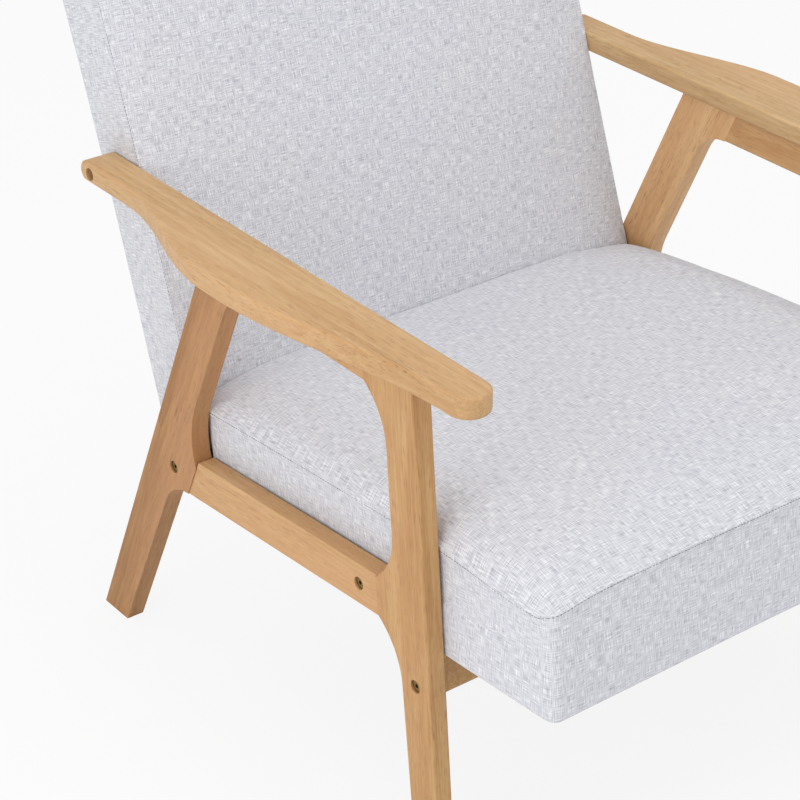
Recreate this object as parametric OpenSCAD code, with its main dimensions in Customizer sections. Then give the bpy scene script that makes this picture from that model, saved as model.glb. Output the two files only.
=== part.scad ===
// Accent chair: two wooden side frames, a front cross rail, and an upholstered seat and back.
// Millimetres. +Z is up, the chair faces -Y, and the origin is under the middle of the whole chair.
// Left and right are as seen from the front, so left is -X.
// Side views are drawn as [y, z] points, with y = 0 at the back edge of the rear foot.

/* [Side frames] */
// Width over the outer faces of the side frames
frame_w = 660; // [600:1:720]
// Thickness of the legs and upper rails
frame_t = 21; // [18:0.5:26]
// Distance from the rear foot's back edge to the front foot's front edge
foot_span = 625; // [600:1:660]
// Height of the armrests' undersides
arm_under_z = 553.5; // [530:0.5:590]
// Small gap between soft pieces and what they lie against
soft_gap = 0.3; // [0.2:0.05:0.5]

/* [Rear legs] */
// Lean of the rear legs from upright, in degrees
rear_rake = 24.2; // [22:0.1:26]
// Level width of a rear leg from its back edge to the rail joints
rear_blank_w = 84; // [80:1:92]
// Level width of a rear leg between its branches
rear_leg_w = 54; // [46:1:58]
// Level width of a rear leg where it leaves the side rail
rear_knee_w = 53; // [46:1:58]
// Level width of a rear foot
rear_foot_w = 47; // [38:1:52]
// Radius of the fillets under the rear legs' branches
rear_fillet_r = 52; // [35:1:60]
// Distance of the upright edge over the side rail behind the rail's joint
rear_step = 9; // [6:0.5:14]
// Height over which the upright edge curves out to the side rail
rear_step_rise = 24; // [16:1:28]
// Radius of the long bend that leads down to the side rail
rear_bend_r = 105; // [60:5:120]

/* [Front legs] */
// Lean of the front legs from upright, in degrees
front_rake = 4.8; // [3:0.1:7]
// Width of a front leg from its front edge to the rail joints
front_blank_w = 76; // [70:1:84]
// Width of a front leg between its branches
front_leg_w = 47; // [42:1:54]
// Width of a front leg just under the side rail
front_knee_w = 44; // [38:1:50]
// Width of a front foot
front_foot_w = 39; // [32:1:46]
// Height over which each branch of a front leg curves out
branch_rise = 57; // [45:1:66]

/* [Rails] */
// Height of the upper rails
upper_rail_h = 36; // [30:1:44]
// Height of the side rails
side_rail_h = 45.5; // [38:0.5:54]
// Height of the side rails' top edge at the front joint
side_rail_z = 312; // [300:1:325]
// Slope of the side rails and of the seat, rising to the front, in degrees
rail_slope = 4.5; // [3:0.1:6]
// How far the side rails' outer faces lie behind the legs' faces
side_rail_inset = 1.2; // [0:0.1:3]
// Height of the front cross rail
cross_rail_h = 44.5; // [41:0.5:52]
// Thickness of the front cross rail
cross_rail_t = 24; // [20:0.5:28]
// Height of the front cross rail's bolts over its lower edge
cross_bolt_up = 12; // [10:0.5:16]

/* [Armrests] */
// Thickness of an armrest
arm_t = 22.5; // [18:0.5:28]
// How far the armrests stand in over the side frames
arm_in = 4.5; // [1:0.5:8]
// Length of an armrest
arm_len = 642.5; // [610:0.5:680]
// Width of an armrest at the back
arm_rear_w = 38.5; // [34:0.5:44]
// Width of an armrest at its widest
arm_max_w = 82; // [66:1:92]
// Width of an armrest at its front end
arm_front_w = 43; // [38:0.5:52]
// Distance from the rear end to the start of the flare
arm_flare_from = 88; // [75:1:110]
// Length of the flare
arm_flare_len = 200; // [140:5:220]
// Distance from the rear end to the start of the taper
arm_taper_from = 315; // [300:5:340]
// Length of the taper to the front end
arm_taper_len = 305; // [240:5:310]
// Radius of the armrests' rounded edges
arm_edge_r = 3.5; // [2:0.5:5]
// Distance from an armrest's rear end to its bolt hole
arm_bolt_in = 19.5; // [17:0.5:26]
// Depth of the armrest bolts behind the back's front face
arm_bolt_deep = 42.3; // [38:0.1:50]

/* [Seat] */
// Distance of the seat's front face before the rear foot's back edge
seat_front_y = 760.5; // [730:0.5:780]
// Height of the seat from its underside to its seam at the front corners
seat_h = 105; // [96:1:116]
// Further rise of the seat's seam between its corners
seat_bow = 11; // [0:1:14]
// Distance behind the front face over which the side seams dip to the front corners
seat_dip_run = 110; // [80:5:160]
// Rise of the seat's top from the seam to its middle
seat_crown = 31; // [16:1:36]
// How much lower the seat's top is where the back stands on it
seat_rest_drop = 12; // [4:1:14]
// How far the seat's sides draw in between the corners
seat_draw = 2; // [0:0.5:3]
// How far the seat's front face leans back at its seam
seat_setback = 4; // [0:0.5:8]
// Length of the seat's ledge under the back
seat_ledge = 84; // [80:1:94]
// Radius of the seat's upright corners
seat_corner_r = 12; // [8:1:16]
// Radius of the seat's corners at its seam
seat_seam_r = 22; // [14:1:30]
// Height of the seat's wooden frame
seat_frame_h = 56; // [52:1:60]
// Thickness of the seat's frame rails
seat_rail_t = 22; // [18:1:26]
// Height of the side rails' middle line over the seat's underside, where the seat is bolted
seat_bolt_up = 43; // [38:0.5:46]
// Distance of the front seat bolts behind the side rails' front joints
side_bolt_in = 28.8; // [22:0.1:40]
// Level distance of the rear seat bolts before the rear legs' back edges
rear_bolt_in = 48.8; // [40:0.1:56]
// Thickness of the upholstery fabric with its backing
cover_t = 1.5; // [1:0.1:2.5]
// Width of the fabric that turns in under the seat and behind the back
cover_lip = 30; // [20:1:40]
// Radius of the cushions' lower and rear edges
edge_r = 4; // [2:0.5:6]

/* [Back] */
// Lean of the back from upright, in degrees
back_rake = 19.85; // [18:0.05:22]
// Thickness of the back at its middle
back_t = 84; // [78:1:90]
// Length of the back along its front face
back_len = 540; // [480:1:580]
// Level distance from the back's front face, carried down to the floor, to the rear foot's back edge
back_face_y = 300.5; // [290:0.5:310]
// Rise of the back's front face from its seam to its middle
back_crown = 7; // [3:0.5:12]
// How far the back's sides draw in where they pass between the armrests
back_draw = 3; // [1:0.5:4]
// Radius of the back's corners, seen from the front
back_corner_r = 22; // [12:1:34]
// Depth of the back's wooden frame behind the front face
back_frame_in = 30; // [26:0.5:34]
// Thickness of the back's wooden frame
back_frame_t = 30; // [26:1:34]
// Width of the back's stiles and rails
stile_w = 50; // [40:1:60]
// Distance of the back's lower bolts from the middle
back_bolt_x = 190; // [120:5:230]

/* [Webbing] */
// Width of a strap of webbing
strap_w = 50; // [40:1:60]
// Thickness of a strap of webbing
strap_t = 2; // [1.5:0.1:3]
// Number of straps across the seat
seat_straps = 6; // [4:1:7]
// Number of straps across the back
back_straps = 4; // [3:1:5]

/* [Bolts and dowels] */
// Diameter of the bolt holes' wide mouths
mouth_d = 14; // [13:0.1:16]
// Depth of the mouths in the legs and rails
mouth_deep = 6.5; // [5:0.5:9]
// Depth of the mouths in the armrests
arm_mouth_deep = 22; // [18:1:26]
// Diameter of a bolt's head
head_d = 12.4; // [10:0.1:12.6]
// Thickness of a bolt's head
head_h = 3.6; // [3:0.1:5]
// Width across the flats of the hexagonal socket
socket_w = 4; // [3:0.5:5]
// Diameter of a bolt's shank
shank_d = 6; // [5:0.5:8]
// Clearance of a shank in the wood, on the diameter
shank_gap = 0.8; // [0.4:0.1:1.2]
// Thickness of a washer
washer_t = 1; // [0.8:0.1:1.4]
// Diameter of a threaded insert
insert_d = 10; // [8:0.5:12]
// Length of a threaded insert
insert_len = 14; // [10:1:16]
// Diameter of a barrel nut
barrel_d = 10; // [9:0.5:12]
// Length of a barrel nut
barrel_len = 16; // [12:1:18]
// Distance of the barrel nuts from the legs
barrel_in = 30; // [22:1:40]
// Diameter of a wooden dowel
dowel_d = 8; // [6:0.5:10]
// Length of a dowel in a rail joint
dowel_len = 34; // [24:1:36]
// Length of a dowel under an armrest
arm_dowel_len = 28; // [20:1:30]
// Length of a dowel in the front cross rail
cross_dowel_len = 30; // [24:1:40]
// Height of the cross rail's dowels over its bolts
cross_dowel_up = 19; // [16:0.5:20]
// Clearance of dowels, nuts and inserts in their holes, on the diameter
fit_gap = 0.2; // [0.1:0.05:0.4]

/* [Hidden] */

oak = "#C9A06E";
pine = "#D9BE8C";
cloth = "#CBCBD0";
black_cloth = "#2B2B2D";
foam_yellow = "#E8DFB8";
brass = "#8C7440";
steel = "#A9ABAE";
sides = [-1, 1];
round_fn = 48;

// Side-view edges of the legs and rails: y at a height z, or z at a depth y
rake_run = tan(rear_rake);
front_run = tan(front_rake);
slope_run = tan(rail_slope);
upper_rail_z = arm_under_z - upper_rail_h;
function rear_edge(z) = -z * rake_run;
function rear_joint(z) = rear_edge(z) - rear_blank_w;
function front_edge(z) = -foot_span + z * front_run;
function front_at(z, w) = front_edge(z) + w / cos(front_rake);
side_joint_y = front_at(side_rail_z, front_blank_w);
rail_drop = side_rail_h / cos(rail_slope);
function rail_top(y) = side_rail_z + (side_joint_y - y) * slope_run;

// Where the line y = p.y + k * (z - p.z) crosses the side rail, a drop below its top edge
function on_rail(p, k, drop) =
    let (z = (side_rail_z - drop + (side_joint_y - p[0] + k * p[1]) * slope_run) / (1 + k * slope_run))
    [p[0] + k * (z - p[1]), z];
function rear_end(drop) = on_rail([-rear_blank_w, 0], -rake_run, drop);
function front_end(drop) = on_rail([front_at(0, front_blank_w), 0], front_run, drop);

// Round hollows in an outline: [first end, last end, centre, radius]
function unit(v) = v / norm(v);
// A fillet in the corner b between the edges to a and c, smaller where an edge is too short for it
function fillet(a, b, c, r) =
    let (u = unit(a - b), w = unit(c - b), half = acos(u * w) / 2,
        s = min(r / tan(half), norm(a - b) - 1, norm(c - b) - 1))
    [b + u * s, b + w * s, b + unit(u + w) * s / cos(half), s * tan(half)];
// A curve that leaves a straight edge at t, along d, and sweeps out to j
function sweep(t, d, j) =
    let (n = [-d[1], d[0]], v = j - t, reach = v * n, r = (v * v) / (2 * abs(reach)))
    [t, j, t + n * sign(reach) * r, r];
module hollow(curve) {
    translate(curve[2]) circle(r = curve[3], $fn = 4 * round_fn);
}

// Seat frame of reference: y runs back from the seat's lower front edge, z rises square to the seat
seat_front_z = rail_top(-seat_front_y) - rail_drop / 2 - seat_bolt_up / cos(rail_slope);
function turn(p, a) = [p[0] * cos(a) - p[1] * sin(a), p[0] * sin(a) + p[1] * cos(a)];
function from_seat(p) = [-seat_front_y, seat_front_z] + turn(p, -rail_slope);
function to_seat(p) = turn(p - [-seat_front_y, seat_front_z], rail_slope);
module seat_place() {
    translate([0, y_shift - seat_front_y, seat_front_z]) rotate([-rail_slope, 0, 0]) children();
}

// The back's front face crosses the seat's underside at face_at(0) and leans away above it
lean = back_rake - rail_slope;
back_run = tan(back_rake);
face_base = (seat_front_y - back_face_y + seat_front_z * back_run)
    / (cos(rail_slope) + sin(rail_slope) * back_run);
function face_at(h) = face_base + h * tan(lean);
frame_low = cover_t + soft_gap;
frame_top = frame_low + seat_frame_h;
ledge_h = frame_top + soft_gap + cover_t;
seat_len = face_at(ledge_h) + seat_ledge;

// Back frame of reference: y runs back from its front face, z runs up the face
back_origin = [face_at(ledge_h + soft_gap), ledge_h + soft_gap];
function from_back(p) = from_seat(back_origin + turn(p, -lean));
module back_place() {
    seat_place() translate([0, back_origin[0], back_origin[1]]) rotate([-lean, 0, 0]) children();
}
// The back's underside lies on the seat's ledge: its height at a depth behind the front face
function sole(depth) = depth * tan(lean);

// Half widths, from the middle of the chair
outer_x = frame_w / 2;
inner_x = outer_x - frame_t;
rail_outer_x = outer_x - side_rail_inset;
arm_x = inner_x - arm_in;
seat_x = inner_x - soft_gap;
back_x = arm_x - soft_gap + back_draw;
seat_in = cover_t + soft_gap + max(seat_draw, edge_r, 0.3 * seat_corner_r);
back_in = cover_t + soft_gap + max(back_draw, 0.3 * back_corner_r);
seat_frame_x = seat_x - seat_in;
back_frame_x = back_x - back_in;

// Bolt places in the side view
dust_t = 0.8;
under_seat = dust_t + 2 * soft_gap;
side_bolt_y = side_joint_y + side_bolt_in;
side_bolt = [side_bolt_y, rail_top(side_bolt_y) - rail_drop / 2];
rear_bolt_z = (rail_top(0) - rail_drop / 2 + rear_bolt_in * slope_run) / (1 - rake_run * slope_run);
rear_bolt = [rear_edge(rear_bolt_z) - rear_bolt_in, rear_bolt_z];
seat_bolt_places = [side_bolt, rear_bolt];
cross_low = -under_seat - cross_rail_h;
cross_bolt_z = (seat_front_z + (cross_low + cross_bolt_up) / cos(rail_slope)
    - (seat_front_y - foot_span + front_knee_w / 2) * slope_run) / (1 + front_run * slope_run);
cross_bolt = [front_at(cross_bolt_z, front_knee_w / 2), cross_bolt_z];
cross_place = to_seat(cross_bolt);
cross_dowel = from_seat(cross_place + [0, cross_dowel_up]);
barrel_x = inner_x - barrel_in;
arm_bolt_z = arm_under_z + arm_t / 2 - 1;
arm_bolt = [arm_bolt_z * back_run - back_face_y + arm_bolt_deep / cos(back_rake), arm_bolt_z];
arm_rear = arm_bolt[0] + arm_bolt_in;

// Draws a side view on the right, or mirrored on the left
module side_view(side) {
    translate([0, y_shift, 0]) mirror([side < 0 ? 1 : 0, 0, 0]) children();
}
// A board cut to a side-view outline, from x = low to x = high
module board(side, low, high) {
    side_view(side) translate([low, 0, 0]) rotate([90, 0, 90]) linear_extrude(high - low) children();
}
// A round rod or hole along x, from x = low to x = high
module rod_x(side, at, low, high, d) {
    side_view(side) translate([low, at[0], at[1]]) rotate([0, 90, 0])
        cylinder(d = d, h = high - low, $fn = round_fn);
}
// A round rod or hole square to the seat, from z = low to z = high
module rod_up(side, at_x, at_y, low, high, d) {
    seat_place() translate([side * at_x, at_y, low]) cylinder(d = d, h = high - low, $fn = round_fn);
}

// Fastener parts, drawn along z with the washer's seat at z = 0 and the shank below it
washer_d = mouth_d - 0.8;
module bolt(shank_len) {
    difference() {
        union() {
            translate([0, 0, -shank_len]) cylinder(d = shank_d, h = shank_len + washer_t, $fn = round_fn);
            translate([0, 0, washer_t]) cylinder(d = head_d, h = head_h, $fn = round_fn);
        }
        translate([0, 0, washer_t + 1]) cylinder(d = socket_w / cos(30), h = head_h, $fn = 6);
    }
}
module sleeve(d, low, high) {
    translate([0, 0, low]) difference() {
        cylinder(d = d, h = high - low, $fn = round_fn);
        translate([0, 0, -1]) cylinder(d = shank_d + fit_gap, h = high - low + 2, $fn = round_fn);
    }
}
module along_x(side, at, seat) {
    side_view(side) translate([seat, at[0], at[1]]) rotate([0, 90, 0]) children();
}
module mouth_hole(side, at, face, deep) {
    rod_x(side, at, face - deep, face + arm_max_w, mouth_d);
    rod_x(side, at, 0, face, shank_d + shank_gap);
}
leg_bolt_x = outer_x - mouth_deep;
rail_bolt_x = rail_outer_x - mouth_deep;
arm_bolt_x = arm_x + arm_rear_w - arm_mouth_deep;

// The back's lower bolts stand square to the seat, under the middle of the back's frame
back_bolt_y = back_origin[0] + (back_frame_in + back_frame_t / 2 + 4) / cos(lean);
back_bolt_low = frame_top - seat_rail_t;
back_insert_low = back_origin[1] + back_in * cos(lean);
module back_bolt_holes(low, high, d) {
    for (side = sides) rod_up(side, back_bolt_x, back_bolt_y, low, high, d);
}

// Dowels along the rails, across the joints with the legs
upper_ends = [for (s = sides) let (z = upper_rail_z + upper_rail_h / 2 + s * upper_rail_h / 4)
    each [[rear_joint(z), z], [front_at(z, front_blank_w), z]]];
side_ends = [for (s = sides) let (drop = rail_drop / 2 + s * rail_drop / 4)
    each [rear_end(drop), front_end(drop)]];
module rail_dowel(side, at, slope, high, d, len) {
    side_view(side) translate([(inner_x + high) / 2, at[0], at[1]]) rotate([90 - slope, 0, 0])
        cylinder(d = d, h = len, center = true, $fn = round_fn);
}
module side_frame_dowels(side, d, len) {
    for (at = upper_ends) rail_dowel(side, at, 0, outer_x, d, len);
    for (at = side_ends) rail_dowel(side, at, rail_slope, rail_outer_x, d, len);
}
// Dowels that stand in the tops of the legs and of the upper rail, under the armrest
rear_top = rear_joint(arm_under_z);
front_top = front_at(arm_under_z, front_blank_w);
dowel_room = dowel_len / 2 + dowel_d + 4;
arm_dowel_y = [rear_top + 2 * dowel_room + 3, rear_top + dowel_room, rear_top - 2 * dowel_room,
    front_top + 2 * dowel_room, front_top - dowel_room, front_top - 2 * dowel_room + 4];
module arm_dowels(side, d, len) {
    for (y = arm_dowel_y) side_view(side) translate([(inner_x + outer_x) / 2, y, arm_under_z])
        cylinder(d = d, h = len, center = true, $fn = round_fn);
}
// Dowels that key the front cross rail to the front legs, over its bolts
cross_dowel_out = 11;
module cross_dowels(side, d, slack) {
    rod_x(side, cross_dowel, inner_x + cross_dowel_out - cross_dowel_len - slack,
        inner_x + cross_dowel_out + slack, d);
}
module dowel_holes(side) {
    side_frame_dowels(side, dowel_d + fit_gap, dowel_len + 1);
    arm_dowels(side, dowel_d + fit_gap, arm_dowel_len + 1);
    cross_dowels(side, dowel_d + fit_gap, 0.5);
}

// Rear leg: raked, with a branch to the upper rail and one to the side rail
module rear_leg(side) {
    foot = [-rear_foot_w, 0];
    low_end = rear_end(rail_drop);
    top_end = rear_end(0);
    lower_k = (rear_edge(low_end[1]) - rear_knee_w + rear_foot_w) / low_end[1];
    step_y = top_end[0] + rear_step;
    bend_corner = [step_y, -(step_y + rear_leg_w) / rake_run];
    arm_corner = [rear_edge(upper_rail_z) - rear_leg_w, upper_rail_z];
    arm_end = [rear_joint(upper_rail_z), upper_rail_z];
    low = fillet(foot, on_rail(foot, lower_k, rail_drop), low_end, rear_fillet_r);
    step = sweep([step_y, top_end[1] + rear_step_rise], [0, 1], top_end);
    bend = fillet(step[0], bend_corner, arm_corner, rear_bend_r);
    high = fillet(bend_corner, arm_corner, arm_end, rear_fillet_r);
    color(oak) difference() {
        board(side, inner_x, outer_x) difference() {
            polygon([[0, 0], [rear_edge(arm_under_z), arm_under_z], [rear_joint(arm_under_z), arm_under_z],
                arm_end, high[1], high[0], bend[1], bend[0], step[0], step[1],
                low_end, low[1], low[0], foot]);
            for (curve = [low, step, bend, high]) hollow(curve);
        }
        mouth_hole(side, rear_bolt, outer_x, mouth_deep);
        dowel_holes(side);
    }
}

// Front leg: nearly upright, branching back to the upper rail and to the side rail
function front_sweep(joint, rise, w) =
    sweep([front_at(joint[1] + rise, w), joint[1] + rise], [sin(front_rake), cos(front_rake)], joint);
module front_leg(side) {
    top = front_sweep([front_at(upper_rail_z, front_blank_w), upper_rail_z], -branch_rise, front_leg_w);
    middle = front_sweep(front_end(0), branch_rise, front_leg_w);
    low = front_sweep(front_end(rail_drop), -branch_rise - 5, front_knee_w);
    color(oak) difference() {
        board(side, inner_x, outer_x) difference() {
            polygon([[-foot_span, 0], [front_edge(arm_under_z), arm_under_z], [front_top, arm_under_z],
                top[1], top[0], middle[0], middle[1], low[1], low[0], [front_foot_w - foot_span, 0]]);
            for (curve = [top, middle, low]) hollow(curve);
        }
        mouth_hole(side, cross_bolt, outer_x, mouth_deep);
        dowel_holes(side);
    }
}

module upper_rail(side) {
    color(oak) difference() {
        board(side, inner_x, outer_x) polygon([
            [rear_joint(upper_rail_z), upper_rail_z], [rear_top, arm_under_z],
            [front_top, arm_under_z], [front_at(upper_rail_z, front_blank_w), upper_rail_z]]);
        dowel_holes(side);
    }
}

module side_rail(side) {
    color(oak) difference() {
        board(side, inner_x, rail_outer_x)
            polygon([rear_end(rail_drop), rear_end(0), front_end(0), front_end(rail_drop)]);
        mouth_hole(side, side_bolt, rail_outer_x, mouth_deep);
        dowel_holes(side);
    }
}

module front_cross_rail() {
    color(oak) difference() {
        seat_place() translate([-inner_x, cross_place[0] - cross_rail_t / 2, cross_low])
            cube([2 * inner_x, cross_rail_t, cross_rail_h]);
        for (side = sides) {
            rod_x(side, cross_bolt, barrel_x - barrel_d, inner_x + 1, shank_d + shank_gap);
            cross_dowels(side, dowel_d + fit_gap, 0.5);
            seat_place() translate([side * barrel_x, cross_place[0] - barrel_len / 2, cross_place[1]])
                rotate([-90, 0, 0]) cylinder(d = barrel_d + fit_gap, h = cross_rail_t, $fn = round_fn);
        }
    }
}

// Armrest in plan, as [distance from the rear end, distance out from the inner edge]
arm_steps = 36;
nose_steps = 12;
arm_nose_r = arm_front_w / 2;
arm_nose = arm_len - arm_nose_r;
function smooth(t) = t <= 0 ? 0 : t >= 1 ? 1 : t * t * (3 - 2 * t);
function arm_w(a) = arm_rear_w + (arm_max_w - arm_rear_w) * smooth((a - arm_flare_from) / arm_flare_len)
    - (arm_max_w - arm_front_w) * smooth((a - arm_taper_from) / arm_taper_len);
function arm_outline() = concat(
    [for (i = [0:5]) [arm_nose * i / 6, 0]],
    [for (i = [0:nose_steps]) let (t = 180 * i / nose_steps - 90)
        [arm_nose + arm_nose_r * cos(t), arm_nose_r * (1 + sin(t))]],
    [for (i = [1:arm_steps]) let (a = arm_nose * (1 - i / arm_steps)) [a, arm_w(a)]]);
function inset(line, e) = let (n = len(line)) [for (i = [0:n - 1])
    let (d = unit(line[(i + 1) % n] - line[(i + n - 1) % n])) line[i] + e * [-d[1], d[0]]];
// Side faces of a stack of rings of n points each
function skin(rings, n) = [for (k = [0:rings - 2], i = [0:n - 1]) let (a = k * n + i, b = k * n + (i + 1) % n)
    each [[a, a + n, b], [b, a + n, b + n]]];
module armrest_blank() {
    line = arm_outline();
    n = len(line);
    quarter = [for (t = [0:30:90]) arm_edge_r * [1 - sin(t), 1 - cos(t)]];
    levels = concat(quarter, [for (k = [3:-1:0]) [quarter[k][0], arm_t - quarter[k][1]]]);
    middle = [arm_front_w / 2, -arm_len / 2];
    points = concat([for (level = levels, p = inset(line, level[0])) [p[1], -p[0], level[1]]],
        [[middle[0], middle[1], 0], [middle[0], middle[1], arm_t]]);
    count = n * len(levels);
    polyhedron(points, concat(skin(len(levels), n),
        [for (i = [0:n - 1]) [count, i, (i + 1) % n]],
        [for (i = [0:n - 1]) [count + 1, count - n + (i + 1) % n, count - n + i]]), convexity = 6);
}
module armrest(side) {
    color(oak) difference() {
        intersection() {
            side_view(side) translate([arm_x, arm_rear, arm_under_z]) armrest_blank();
            board(side, arm_x - 1, arm_x + arm_max_w + 1) union() {
                translate([arm_rear - arm_t / 2, arm_under_z + arm_t / 2])
                    circle(d = arm_t, $fn = 2 * round_fn);
                translate([arm_rear - arm_len - 1, arm_under_z - 1])
                    square([arm_len + 1 - arm_t / 2, arm_t + 2]);
            }
        }
        mouth_hole(side, arm_bolt, arm_x + arm_rear_w, arm_mouth_deep);
        arm_dowels(side, dowel_d + fit_gap, arm_dowel_len + 1);
    }
}

// Cushion forms are stacks of rings. A ring is a rounded rectangle in plan, given by its height z,
// how far it is set in, the y of its two ends, and how much its low end is lifted: [z, e, low, high, lift].
corner_steps = 4;
side_steps = 5;
ring_n = 4 * (corner_steps + side_steps);
function plan_ring(half, low, high, r) =
    let (c = [[half - r, low + r], [half - r, high - r], [r - half, high - r], [r - half, low + r]])
    [for (k = [0:3]) let (out = r * [cos(90 * k), sin(90 * k)])
        each concat([for (i = [0:corner_steps]) let (t = 90 * (k - 1 + i / corner_steps))
                c[k] + r * [cos(t), sin(t)]],
            [for (j = [1:side_steps - 1]) c[k] + out + (c[(k + 1) % 4] - c[k]) * j / side_steps])];
// A cushion's form: its half width, how far its sides draw in, the place along it where it is
// narrowest, its length, and how far its seam rises between the corners of its low end
function drawn(p, form, half, low, high) =
    let (u = p[0] / half, w = (2 * p[1] - low - high) / (high - low),
        along = (p[1] - form[2]) / (p[1] > form[2] ? form[3] - form[2] : form[2]))
    p - form[1] * [sign(u) * pow(abs(u), 9) * (1 - along * along), sign(w) * pow(abs(w), 9) * (1 - u * u)];
function seam_rise(p, form) =
    form[4] * (1 - pow(min(1, abs(p[0] / form[0])), 8) / (1 + pow(p[1] / seat_dip_run, 4)));
// A wall ring also has its share of the seam's rise and its corner radius
function wall_rings(walls, form) = [for (w = walls)
    let (half = form[0] - w[1], low = w[2] + w[1], high = w[3] - w[1])
    [for (p = plan_ring(half, low, high, max(1, w[6] - w[1])))
        let (q = drawn(p, form, half, low, high))
        [q[0], q[1], w[0] + w[4] * pow((high - q[1]) / (high - low), 2) + w[5] * seam_rise(q, form)]]];
// The crown at a share u of the half width and w of the half length. Where something stands on the
// high end, the crown runs on to it, a drop lower and softer at its sides.
end_power = 7;
rest_power = 5;
function rise(u, w, crown, side_power, drop) =
    let (back = drop > 0 ? max(0, w) : 0, fall = drop > 0 && w > 0 ? 0 : min(1, abs(w)),
        power = side_power - (side_power - rest_power) * pow(back, 10))
    (crown - drop * back * back) * (1 - pow(min(1, abs(u)), power)) * (1 - pow(fall, end_power));
top_shares = [1, 0.985, 0.955, 0.89, 0.74, 0.45];
function top_rings(seam, e, low, high, r, form, crown, side_power, drop, end_run) =
    let (half = form[0] - e, near = low + e, far = high - e, c = [0, (near + far) / 2])
    [for (s = top_shares) [for (p = plan_ring(half, near, far, max(1, r - e)))
        let (q = c + s * (drawn(p, form, half, near, far) - c), w = (q[1] - c[1]) / (far - c[1]),
            h = rise(q[0] / half, w, crown, side_power, drop) + seam_rise(q, form))
        [q[0], q[1] + h * end_run * max(0, w), seam - e + h]]];
function middle(ring) = [for (k = [0:2]) [for (p = ring) p[k]] * [for (p = ring) 1 / ring_n]];
module ring_solid(rings) {
    n = ring_n;
    count = len(rings);
    points = concat([for (ring = rings, p = ring) p], [middle(rings[0]), middle(rings[count - 1])]);
    polyhedron(points, concat(skin(count, n),
        [for (i = [0:n - 1]) [n * count, i, (i + 1) % n]],
        [for (i = [0:n - 1]) [n * count + 1, n * (count - 1) + (i + 1) % n, n * (count - 1) + i]]),
        convexity = 8);
}
// A cover is the outer form joined to the form set in by its thickness, open below
module cover_form(outer_rings, inner_rings) {
    ring_solid(concat([for (i = [len(inner_rings) - 1:-1:0]) inner_rings[i]], outer_rings));
}

// Seat cushion
seam_dip = 1.2;
seam_band = 4;
function seat_end(h) = face_at(h) - soft_gap;
seat_form = [seat_x, seat_draw, seat_len / 2, seat_len, seat_bow];
seat_side_power = 30;
function seat_walls(e) = [
    [e, cover_lip, 0, seat_len, 0, 0, seat_corner_r],
    [e, e + edge_r, 0, seat_len, 0, 0, seat_corner_r],
    [e + edge_r * 0.3, e + edge_r * 0.3, 0, seat_len, 0, 0, seat_corner_r],
    [e + edge_r, e, 0, seat_len, 0, 0, seat_corner_r],
    [ledge_h - e, e, 0, seat_len, 0, 0, seat_corner_r],
    [ledge_h - e, e, 0, seat_end(ledge_h), 8, 0, seat_corner_r],
    [seat_h - seam_band, e, seat_setback, seat_end(seat_h - seam_band), 0, 1, seat_seam_r],
    [seat_h - e, e + seam_dip, seat_setback, seat_end(seat_h), 0, 1, seat_seam_r]];
function seat_rings(walls, e) = concat(
    wall_rings(walls, seat_form),
    top_rings(seat_h + seam_dip, e, seat_setback, seat_end(seat_h), seat_seam_r, seat_form,
        seat_crown, seat_side_power, seat_rest_drop, tan(lean)));
module seat_cover() {
    color(cloth) difference() {
        seat_place() cover_form(seat_rings(seat_walls(0), 0), seat_rings(seat_walls(cover_t), cover_t));
        for (side = sides, at = seat_bolt_places)
            rod_x(side, at, seat_frame_x - 1, inner_x, shank_d + shank_gap);
        back_bolt_holes(frame_top, ledge_h + 1, shank_d + shank_gap);
    }
}
foam_in = cover_t + soft_gap;
module seat_foam() {
    low = frame_top + strap_t + soft_gap;
    walls = seat_walls(foam_in);
    color(foam_yellow) seat_place()
        ring_solid(seat_rings([[low, foam_in, 0, seat_end(low), 0, 0, seat_corner_r], walls[6], walls[7]],
            foam_in));
}
module seat_dust_cover() {
    margin = 14;
    color(black_cloth) seat_place() translate([margin - seat_x, margin, -soft_gap - dust_t])
        cube([2 * (seat_x - margin), seat_len - 2 * margin, dust_t]);
}

// Seat frame: two side rails, three rails across them, and corner blocks
frame_rear = seat_len - seat_in;
middle_y = face_at(frame_top) - seat_rail_t - 2;
rear_rail_y = middle_y + seat_rail_t;
module seat_side_rails() {
    color(pine) difference() {
        for (side = sides) seat_place()
            translate([side > 0 ? seat_frame_x - seat_rail_t : -seat_frame_x, seat_in, frame_low])
                cube([seat_rail_t, frame_rear - seat_in, seat_frame_h]);
        for (side = sides, at = seat_bolt_places) {
            rod_x(side, at, seat_frame_x - insert_len - soft_gap, inner_x, insert_d + fit_gap);
            rod_x(side, at, seat_frame_x - seat_rail_t - 1, inner_x, shank_d + shank_gap);
        }
    }
}
module seat_rail(y, depth, height) {
    color(pine) seat_place() translate([seat_rail_t - seat_frame_x, y, frame_top - height])
        cube([2 * (seat_frame_x - seat_rail_t), depth, height]);
}
module seat_front_rail() {
    seat_rail(seat_in, seat_rail_t, seat_frame_h);
}
module seat_middle_rail() {
    seat_rail(middle_y, seat_rail_t, seat_frame_h);
}
module seat_rear_rail() {
    color(pine) difference() {
        seat_rail(rear_rail_y, frame_rear - rear_rail_y, seat_rail_t);
        back_bolt_holes(0, frame_top + 1, shank_d + shank_gap);
    }
}
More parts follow.
